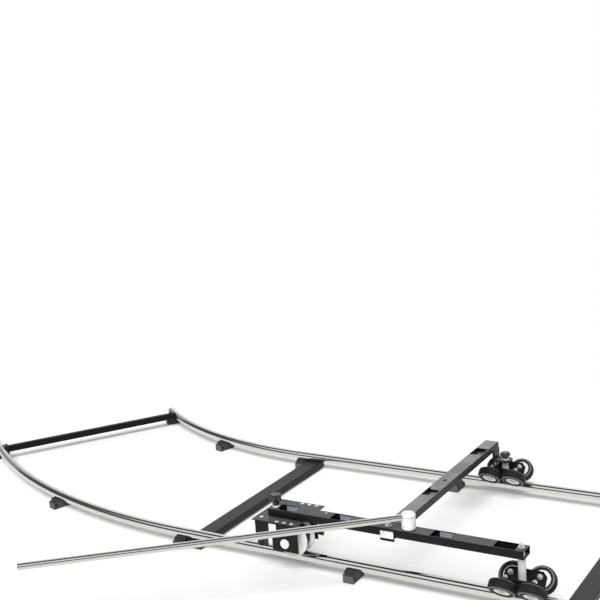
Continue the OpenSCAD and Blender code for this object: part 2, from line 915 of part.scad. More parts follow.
// Guide wheel: round shoulders on the tread and a recessed hub
module guide_wheel(s, x) {
    half = wheel_w / 2;
    color(black_colour)
        wheel_side(s)
            translate([x * axle_pitch / 2, 0, wheel_at])
                rotate([90, 0, 0])
                    rotate_extrude($fn = 64)
                        difference() {
                            union() {
                                translate([bolt_d / 2 + turn_fit, -half + hub_recess])
                                    square([hub_d / 2 - bolt_d / 2, wheel_w - hub_recess]);
                                translate([hub_d / 2 - 3, -half])
                                    square([wheel_r - 3 - hub_d / 2 + 3, wheel_w]);
                                translate([wheel_r - 4, -half + 3])
                                    square([4, wheel_w - 6]);
                                for (t = [-1, 1])
                                    translate([wheel_r - 3, t * (half - 3)])
                                        circle(r = 3);
                            }
                            for (t = [-1, 1])
                                translate([hub_d / 2 + 1, t * half])
                                    circle(r = 1.2);
                        }
}

module at_king(k) {
    translate([k[0], k[1], 0])
        children();
}

module near_angle() { at_king(near_king) bogie_angle(); }
module near_block() { at_king(near_king) bogie_block(); }
module near_axles() { at_king(near_king) bogie_axles(); }
module near_wheel_1() { at_king(near_king) guide_wheel(-1, -1); }
module near_wheel_2() { at_king(near_king) guide_wheel(-1, 1); }
module near_wheel_3() { at_king(near_king) guide_wheel(1, -1); }
module near_wheel_4() { at_king(near_king) guide_wheel(1, 1); }
module far_angle() { at_king(far_king) bogie_angle(); }
module far_block() { at_king(far_king) bogie_block(); }
module far_axles() { at_king(far_king) bogie_axles(); }
module far_wheel_1() { at_king(far_king) guide_wheel(-1, -1); }
module far_wheel_2() { at_king(far_king) guide_wheel(-1, 1); }
module far_wheel_3() { at_king(far_king) guide_wheel(1, -1); }
module far_wheel_4() { at_king(far_king) guide_wheel(1, 1); }

plate_x0 = left_king[0] - plate_front;
plate_len = plate_front + plate_back;
hole_x = [for (i = [-1 : 1]) drive_x - 3.5 + i * plate_hole_pitch];
near_hole_y = plate_row_inset - plate_near;
far_hole_y = near_hole_y + plate_row_gap;
front_hole_y = 28;

// Plate under the crossbar's end, with a row of holes along each long edge
module drive_hanger() {
    color(black_colour)
        difference() {
            translate([plate_x0, -plate_near, plate_z - sheet_t])
                cube([plate_len, plate_near + plate_far, sheet_t]);
            translate([left_king[0], left_king[1], plate_z - sheet_t - 1])
                cylinder(r = bolt_d / 2 + turn_fit, h = sheet_t + 2);
            for (x = hole_x, y = [near_hole_y, far_hole_y])
                translate([x, y, plate_z - sheet_t - 1])
                    cylinder(d = plate_hole_d, h = sheet_t + 2);
            for (y = [-front_hole_y, front_hole_y])
                translate([plate_x0 + 16, y, plate_z - sheet_t - 1])
                    cylinder(d = plate_hole_d, h = sheet_t + 2);
        }
}

// One cheek: a skirt under the plate that deepens round the axle
module cheek(y, pin) {
    top = plate_z - sheet_t - touch;
    low = drive_z - cheek_drop;
    difference() {
        union() {
            translate([plate_x0 + skirt_in, y, top - skirt_h])
                cube([plate_len - skirt_in - 1, sheet_t, skirt_h]);
            translate([drive_x - cheek_half, y, low])
                cube([2 * cheek_half, sheet_t, top - low]);
        }
        translate([drive_x, y + sheet_t + 1, drive_z])
            rotate([90, 0, 0])
                cylinder(d = bush_d - 6, h = sheet_t + 2);
        if (pin)
            translate([lever_x, y + sheet_t + 1, lever_z])
                rotate([90, 0, 0])
                    cylinder(r = lever_pin_d / 2 + turn_fit, h = sheet_t + 2);
    }
}

module drive_cheeks() {
    top = plate_z - sheet_t - touch;
    color(black_colour) {
        cheek(-near_cheek_y, false);
        cheek(far_cheek_y - sheet_t, true);
        translate([plate_x0 + skirt_in, -near_cheek_y, top - skirt_h])
            cube([sheet_t, near_cheek_y + far_cheek_y, skirt_h]);
    }
}

// Flanged nylon bushes pressed into the two cheeks
module axle_bushes() {
    neck = bush_d - 6 - 2 * touch;
    color(nylon_colour)
        translate([drive_x, 0, drive_z])
            rotate([90, 0, 0])
                difference() {
                    union() {
                        translate([0, 0, near_cheek_y + touch])
                            cylinder(d = bush_d, h = bush_t);
                        translate([0, 0, near_cheek_y - sheet_t])
                            cylinder(d = neck, h = sheet_t + 1);
                        translate([0, 0, -far_cheek_y + sheet_t + touch])
                            cylinder(d = bush_d, h = bush_t);
                        translate([0, 0, -far_cheek_y])
                            cylinder(d = neck, h = sheet_t + 1);
                    }
                    translate([0, 0, -far_cheek_y - 1])
                        cylinder(r = axle_d / 2 + turn_fit, h = near_cheek_y + far_cheek_y + 2);
                }
}

// Gear motor under the plate's far edge, on the outside of the far cheek
module gear_motor() {
    y0 = far_cheek_y + touch;
    color([0.55, 0.55, 0.57])
        difference() {
            translate([drive_x, y0, drive_z])
                rotate([-90, 0, 0])
                    union() {
                        cylinder(d = motor_d + 4, h = 8);
                        cylinder(d = motor_d, h = motor_len);
                        translate([0, 0, motor_len - 0.5])
                            cylinder(d = motor_d * 0.45, h = 3.5);
                    }
            translate([drive_x, y0 - 1, drive_z])
                rotate([-90, 0, 0])
                    cylinder(r = axle_d / 2 + turn_fit, h = 12);
        }
}

socket_drop = 31;
socket_d = 12;

// Power socket that hangs below the skirt's front end
module power_socket() {
    y = -near_cheek_y + sheet_t + touch;
    low = plate_z - sheet_t - touch - skirt_h - socket_drop;
    color(black_colour)
        translate([plate_x0 + skirt_in + sheet_t + touch, y, low])
            difference() {
                union() {
                    cube([26, 10, socket_drop + 12]);
                    translate([13, 1, socket_d / 2 + 1])
                        rotate([90, 0, 0])
                            cylinder(d = socket_d, h = 5, $fn = 32);
                }
                translate([13, 0, socket_d / 2 + 1])
                    rotate([90, 0, 0])
                        cylinder(d = socket_d - 4, h = 5, $fn = 32);
            }
}

// The two flanges that straddle the rail
module drive_flanges() {
    r = drive_flange_d / 2;
    color(nylon_colour)
        translate([drive_x, 0, drive_z])
            for (s = [-1, 1])
                rotate([s * 90, 0, 0])
                    translate([0, 0, drive_groove / 2])
                        rotate_extrude($fn = 96)
                            polygon([
                                [axle_d / 2 + touch, 0],
                                [r - 2, 0],
                                [r, 1.5],
                                [r, drive_flange_t - 1.5],
                                [r - 1.5, drive_flange_t],
                                [axle_d / 2 + touch, drive_flange_t]
                            ]);
}

// Rubber tread band between the flanges
module drive_band() {
    w = drive_groove - 2 * touch;
    color(rubber_colour)
        translate([drive_x, w / 2, drive_z])
            rotate([90, 0, 0])
                difference() {
                    cylinder(d = drive_tread_d, h = w, $fn = 96);
                    translate([0, 0, -1])
                        cylinder(d = axle_d + 2 * touch, h = w + 2);
                }
}

module drive_axle() {
    y0 = near_cheek_y + 0.5;
    color(steel_colour)
        translate([drive_x, -y0, drive_z])
            rotate([-90, 0, 0])
                cylinder(d = axle_d, h = y0 + far_cheek_y + 8);
}

lever_x = drive_x + cheek_half - 6;
lever_z = drive_z - 1;
lever_pin_d = 6;
lever_t = 5;

// Lever that turns on a pin in the far cheek, with a flat paddle
module lift_lever() {
    y = far_cheek_y - sheet_t - slack;
    color(black_colour)
        translate([lever_x, y, lever_z])
            rotate([90, 0, 0]) {
                translate([0, 0, -sheet_t - slack - 1])
                    cylinder(d = lever_pin_d, h = sheet_t + slack + 2);
                linear_extrude(lever_t)
                    union() {
                        circle(r = 5);
                        polygon([[0, -3], [25, -5], [27, 4], [0, 3]]);
                    }
            }
}

rail_outer_curve();
rail_inner_curve();
end_bar_curve();
end_clamps_curve();
feet_outer_curve();
feet_inner_curve();
plugs_curve();
rail_outer_a();
rail_inner_a();
tie_a();
tie_bolts_a();
feet_outer_a();
feet_inner_a();
plugs_a();
rail_outer_b();
rail_inner_b();
tie_b();
tie_bolts_b();
feet_outer_b();
feet_inner_b();
plugs_b();
end_bar_b();
end_clamps_b();
crossbar();
arm();
tee_bracket();
tee_bolt();
far_hanger();
king_bolts();
posts();
knob_washers();
swivel_washer();
swivel_block();
push_bar();
block_screw();
near_angle();
near_block();
near_axles();
near_wheel_1();
near_wheel_2();
near_wheel_3();
near_wheel_4();
far_angle();
far_block();
far_axles();
far_wheel_1();
far_wheel_2();
far_wheel_3();
far_wheel_4();
star_knob_left();
star_knob_far();
drive_hanger();
drive_cheeks();
axle_bushes();
gear_motor();
power_socket();
drive_flanges();
drive_band();
drive_axle();
lift_lever();
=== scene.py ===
"""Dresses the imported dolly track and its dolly, and sets a plain studio round them.

The CAD nodes keep their shapes and get procedural finishes. Wheels, star knobs, domed nuts and
bare plates are parametric surfaces. Every length is in metres and every place is in the CAD's
frame: X along the straight rails, Y from the outer rail to the inner one, Z up from the floor.
"""

import json

import bpy
import numpy as np
from mathutils import Matrix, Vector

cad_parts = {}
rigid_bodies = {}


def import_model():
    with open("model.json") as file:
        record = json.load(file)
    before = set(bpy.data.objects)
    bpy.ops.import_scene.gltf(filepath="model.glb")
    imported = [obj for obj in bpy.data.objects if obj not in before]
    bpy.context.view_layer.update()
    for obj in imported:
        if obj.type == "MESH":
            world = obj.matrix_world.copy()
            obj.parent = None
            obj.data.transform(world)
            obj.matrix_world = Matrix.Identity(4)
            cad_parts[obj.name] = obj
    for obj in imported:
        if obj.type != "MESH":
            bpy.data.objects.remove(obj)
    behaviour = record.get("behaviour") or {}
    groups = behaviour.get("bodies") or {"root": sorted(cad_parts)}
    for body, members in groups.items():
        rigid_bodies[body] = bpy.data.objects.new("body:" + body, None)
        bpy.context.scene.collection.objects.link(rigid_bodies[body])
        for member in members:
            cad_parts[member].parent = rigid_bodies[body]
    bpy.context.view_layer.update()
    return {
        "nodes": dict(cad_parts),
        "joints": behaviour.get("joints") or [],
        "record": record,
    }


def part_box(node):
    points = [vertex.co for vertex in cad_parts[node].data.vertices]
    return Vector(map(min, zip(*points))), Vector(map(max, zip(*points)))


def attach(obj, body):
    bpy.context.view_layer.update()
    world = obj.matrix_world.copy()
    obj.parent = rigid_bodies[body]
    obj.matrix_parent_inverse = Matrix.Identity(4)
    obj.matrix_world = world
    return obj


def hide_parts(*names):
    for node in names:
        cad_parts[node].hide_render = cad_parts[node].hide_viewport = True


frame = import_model()

bl_info = {
    "name": "Dolly track scene",
    "version": (1, 0, 0),
    "blender": (4, 5, 0),
    "location": "View3D > Sidebar > Track",
    "description": "Dresses the packed dolly track and sets a studio round it",
    "category": "Object",
}

TAU = 2 * np.pi

CAMERA_PLACE = (1.76896, -2.14345, 1.21395)
CAMERA_YAW = 32.302
CAMERA_PITCH = 11.715
CAMERA_ROLL = -4.3085
CAMERA_LENS = 66.351

SCREW_AT = (0.4385, 0.0074)
POCKETS_CROSSBAR = (-0.285, -0.132, 0.132)
ARM_LIP_AT = 0.227 + 0.0255
POCKET_WALL_AT = 0.01795
WALL_STRIP = (0.040, 0.013)
WALL_STRIP_SHIFT = 0.005
WALL_STRIP_DEEP = 0.009
PLATE_TOP = 0.1357
# Places of the painted light in the drive plate's holes.
HOLE_LIGHT_PLACES = [(0.3235 + 0.021 * i, y) for i in range(3) for y in (-0.0405, 0.0815)]
HOLE_LIGHT_PLACES += [(0.271, -0.028), (0.271, 0.028)]
FINISHES = {}
FOOT_REACH = 0.93
FEET = {"curve": "curve_pull", "b": "section_b_pull", "a": None}
WHEEL_SETS = {"near": "near_bogie", "far": "far_bogie"}


# Shader arithmetic


class Value:
    """A shader output that takes part in arithmetic with other outputs and with numbers."""

    def __init__(self, tree, socket):
        self.tree = tree
        self.socket = socket

    def _math(self, operation, *others):
        made = self.tree.nodes.new("ShaderNodeMath")
        made.operation = operation
        for slot, item in zip(made.inputs, others):
            if isinstance(item, Value):
                self.tree.links.new(item.socket, slot)
            else:
                slot.default_value = item
        return Value(self.tree, made.outputs[0])

    def __add__(self, other):
        return self._math("ADD", self, other)

    __radd__ = __add__

    def __sub__(self, other):
        return self._math("SUBTRACT", self, other)

    def __rsub__(self, other):
        return self._math("SUBTRACT", other, self)

    def __mul__(self, other):
        return self._math("MULTIPLY", self, other)

    __rmul__ = __mul__

    def __truediv__(self, other):
        return self._math("DIVIDE", self, other)

    def __rtruediv__(self, other):
        return self._math("DIVIDE", other, self)

    def __pow__(self, other):
        return self._math("POWER", self, other)

    def __neg__(self):
        return self._math("MULTIPLY", self, -1.0)

    def sine(self):
        return self._math("SINE", self)

    def step(self, low, high):
        """Rises smoothly from 0 at low to 1 at high."""
        made = self.tree.nodes.new("ShaderNodeMapRange")
        made.interpolation_type = "SMOOTHSTEP"
        self.tree.links.new(self.socket, made.inputs["Value"])
        made.inputs["From Min"].default_value = low
        made.inputs["From Max"].default_value = high
        return Value(self.tree, made.outputs["Result"])

    def clamp(self):
        return self._math("MINIMUM", self._math("MAXIMUM", self, 0.0), 1.0)


class Finish:
    """A Principled material whose varying inputs are fed by one node-making method."""

    def __init__(self, name, color, rough, metal=0.0, coat=0.0):
        self.material = bpy.data.materials.new(name)
        self.material.use_nodes = True
        self.tree = self.material.node_tree
        self.shader = self.tree.nodes["Principled BSDF"]
        self.material.diffuse_color = (*color, 1.0)
        self.color = color
        self.shader.inputs["Base Color"].default_value = (*color, 1.0)
        self.shader.inputs["Roughness"].default_value = rough
        self.shader.inputs["Metallic"].default_value = metal
        self.shader.inputs["Coat Weight"].default_value = coat
        self.place = self.node("ShaderNodeTexCoord").outputs["Object"]

    def node(self, kind, inputs=None, **settings):
        """Makes a node, sets its properties and fills its inputs with sockets or numbers."""
        made = self.tree.nodes.new(kind)
        for name, value in settings.items():
            setattr(made, name, value)
        for name, value in (inputs or {}).items():
            slot = made.inputs[name]
            if isinstance(value, Value):
                self.tree.links.new(value.socket, slot)
            elif isinstance(value, bpy.types.NodeSocket):
                self.tree.links.new(value, slot)
            else:
                slot.default_value = value
        return made

    def axis(self, letter):
        split = self.node("ShaderNodeSeparateXYZ", {"Vector": self.place})
        return Value(self.tree, split.outputs[letter])

    def noise(self, scale, detail=2.0, stretch=(1, 1, 1), rough=0.5):
        """Fractal noise, scale in grains per metre, stretched along the object's axes."""
        moved = self.node(
            "ShaderNodeMapping", {"Vector": self.place, "Scale": stretch}
        )
        made = self.node(
            "ShaderNodeTexNoise",
            {
                "Vector": moved.outputs[0],
                "Scale": scale,
                "Detail": detail,
                "Roughness": rough,
            },
        )
        return Value(self.tree, made.outputs["Fac"])

    def cells(self, scale):
        """Distance to the nearest of many scattered points."""
        made = self.node(
            "ShaderNodeTexVoronoi", {"Vector": self.place, "Scale": scale}
        )
        return Value(self.tree, made.outputs["Distance"])

    def facing_up(self):
        """How far the surface looks upwards, from the geometry's own normal."""
        normal = self.node("ShaderNodeNewGeometry").outputs["Normal"]
        split = self.node("ShaderNodeSeparateXYZ", {"Vector": normal})
        return Value(self.tree, split.outputs["Z"])

    def mix(self, factor, first, second):
        """A colour between two colours."""
        made = self.node("ShaderNodeMix", data_type="RGBA")
        for slot, item in zip((0, 6, 7), (factor, first, second)):
            if isinstance(item, Value):
                self.tree.links.new(item.socket, made.inputs[slot])
            elif isinstance(item, bpy.types.NodeSocket):
                self.tree.links.new(item, made.inputs[slot])
            elif slot:
                made.inputs[slot].default_value = (*item, 1.0)
            else:
                made.inputs[slot].default_value = item
        return made.outputs[2]

    def feed(self, name, value):
        socket = value.socket if isinstance(value, Value) else value
        self.tree.links.new(socket, self.shader.inputs[name])

    def bump(self, height, strength=0.3, distance=0.0005):
        made = self.node(
            "ShaderNodeBump",
            {"Height": height, "Strength": strength, "Distance": distance},
        )
        self.feed("Normal", made.outputs["Normal"])


def dark(color, factor):
    return tuple(channel * factor for channel in color)


def polished_steel(name, color, grain=(4, 60, 60), blur=0.0):
    """Drawn and polished tube: fine lengthwise grain, faint wipe marks, thin scratches."""
    f = Finish(name, dark(color, 0.94), 0.06, metal=1.0)
    streaks = f.noise(40, 3.0, grain)
    wipes = f.noise(9, 2.0)
    marks = f.cells(160).step(0.03, 0.0)
    f.feed("Roughness", 0.03 + blur + streaks * 0.04 + wipes.step(0.45, 0.75) * 0.04 + marks * 0.12)
    f.feed("Base Color", f.mix(wipes * 0.5 + streaks * 0.5, f.color, dark(f.color, 0.9)))
    f.bump(streaks, 0.05, 0.0002)
    return f.material


def powder_coat(name, color, top_light_amount=0.09):
    """Satin powder coat: orange peel, paler worn spots, and painted light on what faces up, mottled by a
    cloud.
    """
    f = Finish(name, color, 0.35)
    f.shader.inputs["Specular IOR Level"].default_value = 0.2
    peel = f.noise(900, 2.0)
    fine = f.cells(2600)
    cloud = f.noise(14, 4.0)
    # Painted light: faces that look up get a paler colour, by the given amount, in mottled patches, and
    # a little more roughness.
    top_light = f.facing_up().step(0.75, 1.0) * (0.55 + cloud.step(0.25, 0.8) * 0.45)
    worn = f.noise(70, 5.0).step(0.66, 0.74)
    bare = tuple(channel + 0.02 for channel in color)
    top_light_color = tuple(channel + top_light_amount for channel in color)
    coat = f.mix(worn * 0.3, dark(color, 0.3), bare)
    f.feed("Base Color", f.mix(top_light * 0.9, coat, top_light_color))
    f.feed("Roughness", 0.27 + peel * 0.12 + top_light * 0.1 + cloud * 0.05)
    f.bump(peel * 0.7 + fine * 0.3, 0.3, 0.0002)
    return f.material


def dull_rubber(name, color):
    """Moulded rubber: grainy skin, greyish bloom, painted light where the ring attribute marks lit faces
    and painted shade where it marks holes.
    """
    f = Finish(name, color, 0.75)
    f.shader.inputs["Specular IOR Level"].default_value = 0.3
    mark = Value(
        f.tree,
        f.node("ShaderNodeAttribute", attribute_name="ring").outputs["Fac"],
    )
    grain = f.noise(1500, 3.0)
    patch = f.noise(35, 4.0)
    bloom = patch.step(0.4, 0.75) * 0.5 + f.facing_up().step(0.5, 1.0) * 0.35
    skin = f.mix(bloom, dark(color, 0.6), tuple(c + 0.025 for c in color))
    # Painted light on the faces that the ring attribute marks.
    skin = f.mix(mark.clamp() * 0.85, skin, tuple(c + 0.09 for c in color))
    # Painted shade: points marked 2 turn nearly black.
    f.feed("Base Color", f.mix((mark - 1.0).clamp(), skin, dark(color, 0.15)))
    f.feed("Roughness", 0.62 + grain * 0.2 + patch * 0.08)
    f.bump(grain, 0.5, 0.0003)
    return f.material


def turned_nylon(name, color, centre=None):
    """Cast nylon: cloudy white with fine turning rings round an axis along Y, if one is given."""
    f = Finish(name, color, 0.38)
    cloud = f.noise(60, 3.0)
    f.feed("Base Color", f.mix(cloud.step(0.3, 0.8), color, dark(color, 0.94)))
    f.feed("Roughness", 0.3 + cloud * 0.2)
    height = f.noise(700, 2.0)
    if centre:
        across = f.axis("X") - centre[0]
        rise = f.axis("Z") - centre[1]
        radius = (across * across + rise * rise) ** 0.5
        height = height * 0.4 + (radius * 5200.0).sine() * 0.3
    f.bump(height, 0.15, 0.0002)
    return f.material


def bright_plate(name, color):
    """Bright zinc or nickel plate on small hardware, with fine handling marks."""
    f = Finish(name, color, 0.2, metal=0.7)
    cloud = f.noise(400, 3.0)
    marks = f.cells(900).step(0.08, 0.0)
    f.feed("Roughness", 0.1 + cloud * 0.12 + marks * 0.2)
    f.feed("Base Color", f.mix(cloud, color, dark(color, 0.9)))
    f.bump(cloud, 0.12, 0.0001)
    return f.material


def turned_aluminium(name, color):
    """Drawn aluminium post: upright bands and fine turning lines across them."""
    f = Finish(name, color, 0.4, metal=0.25)
    bands = f.noise(120, 2.0, (1, 1, 0.05))
    lines = (f.axis("Z") * 9000.0).sine()
    f.feed("Base Color", f.mix(bands.step(0.3, 0.7), color, dark(color, 0.88)))
    f.feed("Roughness", 0.3 + bands * 0.16)
    f.bump(lines * 0.3 + bands, 0.08, 0.0001)
    return f.material


def moulded_plastic(name, color):
    """Moulded black plastic: glossy skin, fine texture, faint scuffs."""
    f = Finish(name, dark(color, 0.4), 0.3, coat=0.4)
    skin = f.noise(1800, 2.0)
    scuff = f.noise(90, 5.0).step(0.6, 0.72)
    f.feed("Base Color", f.mix(scuff * 0.3, f.color, color))
    f.feed("Roughness", 0.2 + skin * 0.12 + scuff * 0.15)
    f.bump(skin, 0.25, 0.0002)
    return f.material


def brushed_case(name, color):
    """Drawn motor case with lines round it."""
    f = Finish(name, color, 0.3, metal=1.0)
    lines = f.noise(300, 2.0, (0.2, 6, 0.2))
    f.feed("Base Color", f.mix(lines, color, dark(color, 0.8)))
    f.feed("Roughness", 0.24 + lines * 0.2)
    f.bump(lines, 0.1, 0.0001)
    return f.material


def bare_plate(name, color):
    """Blank coated plate: even white film with the faintest mottling."""
    f = Finish(name, color, 0.35)
    film = f.noise(500, 3.0)
    edge = f.noise(40, 2.0)
    f.feed("Base Color", f.mix(edge * 0.6, color, dark(color, 0.95)))
    f.feed("Roughness", 0.28 + film * 0.14)
    f.bump(film, 0.08, 0.0001)
    return f.material


def pocket_metal(name, color):
    """Raw inside of a beam: pale bluish metal with lengthwise streaks and dark stains."""
    f = Finish(name, color, 0.4, metal=0.3)
    streaks = f.noise(260, 4.0, (1, 9, 1))
    stain = f.noise(90, 3.0).step(0.42, 0.62)
    f.feed("Base Color", f.mix(stain * 0.5 + streaks * 0.3, color, dark(color, 0.4)))
    f.feed("Roughness", 0.22 + streaks * 0.2)
    f.bump(streaks, 0.15, 0.0001)
    return f.material


def tyre_rubber(name, color):
    """Wheel tyre: dark tread with faint paler patches, and a painted highlight on the side wall's ridge
    from its attribute.
    """
    f = Finish(name, dark(color, 0.25), 0.6)
    f.shader.inputs["Specular IOR Level"].default_value = 0.3
    ridge_highlight = Value(
        f.tree,
        f.node("ShaderNodeAttribute", attribute_name="ring").outputs["Fac"],
    )
    grain = f.noise(1600, 3.0)
    patch = f.noise(80, 4.0)
    # Painted highlight: the marked ridge is made paler; the patches add faint paler mottling.
    pale = ridge_highlight * 0.85 + patch.step(0.45, 0.8) * 0.04
    f.feed("Base Color", f.mix(pale.clamp(), f.color, tuple(c + 0.13 for c in color)))
    f.feed("Roughness", 0.5 + grain * 0.15 - ridge_highlight * 0.15)
    f.bump(grain, 0.3, 0.0002)
    return f.material


# Parametric surfaces


def fillet(corners, radius, steps=4, closed=False):
    """Rounds a polyline's corners with short quadratic curves.

    A corner P between unit directions a and b becomes the curve
    (1-t)^2 (P + r a) + 2 t (1-t) P + t^2 (P + r b), r never over 45% of either side.
    """
    points = [np.array(p, float) for p in corners]
    count = len(points)
    made = []
    for i, point in enumerate(points):
        if not closed and i in (0, count - 1):
            made.append(point)
            continue
        before = points[i - 1] - point
        after = points[(i + 1) % count] - point
        reach_a = min(radius, 0.45 * np.linalg.norm(before))
        reach_b = min(radius, 0.45 * np.linalg.norm(after))
        first = point + before / np.linalg.norm(before) * reach_a
        last = point + after / np.linalg.norm(after) * reach_b
        for t in np.linspace(0, 1, steps):
            made.append((1 - t) ** 2 * first + 2 * t * (1 - t) * point + t * t * last)
    return np.array(made)


class Shape:
    """Gathers grids of points into one mesh, with a UV and a named attribute for each point."""

    def __init__(self):
        self.points = []
        self.faces = []
        self.uvs = []
        self.marks = []
        self.count = 0

    def grid(self, points, wrap_u=False, wrap_v=False, mark=None, flip=False):
        """Adds a grid of points, its faces joined in rows and, where asked, right round."""
        rows, cols = points.shape[:2]
        index = np.arange(rows * cols).reshape(rows, cols) + self.count
        down = np.roll(index, -1, axis=0) if wrap_u else index[1:]
        top = index if wrap_u else index[:-1]
        if wrap_v:
            quads = np.stack([top, np.roll(top, -1, 1), np.roll(down, -1, 1), down], -1)
        else:
            quads = np.stack([top[:, :-1], top[:, 1:], down[:, 1:], down[:, :-1]], -1)
        quads = quads.reshape(-1, 4)
        if flip:
            quads = quads[:, ::-1]
        u, v = np.meshgrid(
            np.linspace(0, 1, rows), np.linspace(0, 1, cols), indexing="ij"
        )
        self.points.append(points.reshape(-1, 3))
        self.faces.append(quads)
        self.uvs.append(np.stack([u.ravel(), v.ravel()], -1))
        self.marks.append(
            np.zeros(rows * cols) if mark is None else np.asarray(mark, float).ravel()
        )
        self.count += rows * cols

    def revolve(self, profile, centre, axis, segments=64, ripple=None, closed=False, mark=None):
        """Turns a profile of (radius, height) round an axis through centre.

        Point = centre + axis h + r (cos t e1 + sin t e2); ripple(r, h, t) adds to h.
        """
        axis = np.array(axis, float)
        axis /= np.linalg.norm(axis)
        e1 = np.array([1.0, 0, 0]) if abs(axis[0]) < 0.9 else np.array([0, 1.0, 0])
        e1 -= axis * (e1 @ axis)
        e1 /= np.linalg.norm(e1)
        e2 = np.cross(axis, e1)
        angle = np.linspace(0, TAU, segments, endpoint=False)
        r = np.repeat(profile[:, 0:1], segments, 1)
        h = np.repeat(profile[:, 1:2], segments, 1)
        t = np.repeat(angle[None], len(profile), 0)
        if ripple:
            r, h = ripple(r, h, t)
        points = (
            np.array(centre, float)
            + h[..., None] * axis
            + r[..., None] * (np.cos(t)[..., None] * e1 + np.sin(t)[..., None] * e2)
        )
        value = None if mark is None else np.repeat(np.asarray(mark)[:, None], segments, 1)
        self.grid(points, wrap_u=closed, wrap_v=True, mark=value)

    def slab(self, centre, across, up, size, thick, corner=0.15):
        """A thin plate with round corners, its outline |x|^n + |y|^n = 1 with n = 2 / corner."""
        across = np.array(across, float)
        up = np.array(up, float)
        out = np.cross(across, up)
        angle = np.linspace(0, TAU, 96, endpoint=False)
        cos, sin = np.cos(angle), np.sin(angle)
        x = np.sign(cos) * np.abs(cos) ** corner * size[0] / 2
        y = np.sign(sin) * np.abs(sin) ** corner * size[1] / 2
        edge = thick * 0.4
        rings = [(1.0, 0.0, 0.0), (1.0, thick - edge, 0.0)]
        rings += [(1.0, thick, edge), (0.6, thick, 0.0), (0.2, thick, 0.0), (0.001, thick, 0.0)]
        rows = []
        for share, lift, inset in rings:
            sx = share * (1 - 2 * inset / size[0])
            sy = share * (1 - 2 * inset / size[1])
            rows.append(
                np.array(centre, float)
                + np.outer(x * sx, across)
                + np.outer(y * sy, up)
                + out * lift
            )
        self.grid(np.array(rows), wrap_v=True)

    def build(self, name, material, body, replaces=(), sharp=40):
        """Makes the object at the origin, smooth but for edges past the sharp angle."""
        points = np.concatenate(self.points)
        faces = np.concatenate(self.faces)
        mesh = bpy.data.meshes.new(name)
        mesh.vertices.add(len(points))
        mesh.vertices.foreach_set("co", points.astype(np.float32).ravel())
        mesh.loops.add(faces.size)
        mesh.loops.foreach_set("vertex_index", faces.astype(np.int32).ravel())
        mesh.polygons.add(len(faces))
        mesh.polygons.foreach_set("loop_start", np.arange(0, faces.size, 4, dtype=np.int32))
        mesh.update(calc_edges=True)
        mesh.validate()
        layer = mesh.uv_layers.new(name="UVMap")
        corner = np.empty(len(mesh.loops), np.int32)
        mesh.loops.foreach_get("vertex_index", corner)
        uvs = np.concatenate(self.uvs)[corner]
        layer.data.foreach_set("uv", uvs.astype(np.float32).ravel())
        ring = mesh.attributes.new("ring", "FLOAT", "POINT")
        ring.data.foreach_set("value", np.concatenate(self.marks).astype(np.float32))
        mesh.shade_smooth()
        mesh.set_sharp_from_angle(angle=np.radians(sharp))
        mesh.materials.append(material)
        obj = bpy.data.objects.new(name, mesh)
        bpy.context.scene.collection.objects.link(obj)
        if replaces:
            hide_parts(*replaces)
        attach(obj, body)
        return obj


def hex_ripple(flat, low, high):
    """Trims a round to a hexagon of half width flat, cut back by a cone at its end faces.

    Radius = min(r, flat / cos(angle from the nearest flat's middle), cone), where the cone
    loses 1.7 mm of radius for each mm of height past the faces' chamfers.
    """

    def trim(r, h, t):
        turn = (t + TAU / 12) % (TAU / 6) - TAU / 12
        hexagon = flat / np.cos(turn)
        cone = flat * 1.155 - np.maximum(0, np.maximum(low - h, h - high)) * 1.7
        return np.minimum(r, np.minimum(hexagon, cone)), h

    return trim


def hex_nut(shape, centre, axis, across, thick, bore):
    """A chamfered hexagon nut standing on centre."""
    flat = across / 2
    rows = np.linspace(0, thick, 9)
    wide = np.array([[flat * 1.2, h] for h in rows])
    profile = np.concatenate([[[bore, 0]], wide, [[bore, thick]]])
    chamfer = thick * 0.12
    shape.revolve(profile, centre, axis, 72, hex_ripple(flat, chamfer, thick - chamfer))


def dome_nut(shape, centre, axis, across, thick, height):
    """A hexagon nut with a domed cap: an ellipse from 98% of the flats up to the height."""
    flat = across / 2
    rows = np.linspace(0, thick, 9)
    wide = np.array([[flat * 1.2, h] for h in rows])
    turn = np.linspace(0, np.pi / 2, 12)
    dome = np.stack(
        [flat * 0.98 * np.cos(turn) + 1e-5, thick + (height - thick) * np.sin(turn)], -1
    )
    profile = np.concatenate([[[flat * 0.5, 0]], wide, dome])

    def trim(r, h, t):
        cut, _ = hex_ripple(flat, thick * 0.12, thick * 0.88)(r, h, t)
        return np.where(h <= thick + 1e-9, cut, np.minimum(r, flat * 0.98)), h

    shape.revolve(profile, centre, axis, 72, trim)


def socket_head(shape, centre, axis, radius, height, key):
    """A cap screw's head with a hexagon socket sunk in its top."""
    deep = height * 0.45
    rim = fillet([(radius, 0), (radius, height), (key * 1.3, height)], radius * 0.15)
    walls = [(key, height), (key, height - deep), (1e-5, height - deep * 1.1)]
    profile = np.concatenate([rim, np.array(walls)])

    def trim(r, h, t):
        turn = (t + TAU / 12) % (TAU / 6) - TAU / 12
        inner = np.arange(len(profile))[:, None] >= len(rim)
        return np.where(inner, np.minimum(r, key * 0.87 / np.cos(turn)), r), h

    shape.revolve(profile, centre, axis, 72, trim)


def washer(shape, centre, axis, radius, thick, bore):
    profile = fillet(
        [(bore, 0), (radius, 0), (radius, thick), (bore, thick)], thick * 0.3, closed=True
    )
    shape.revolve(profile, centre, axis, 64, closed=True)


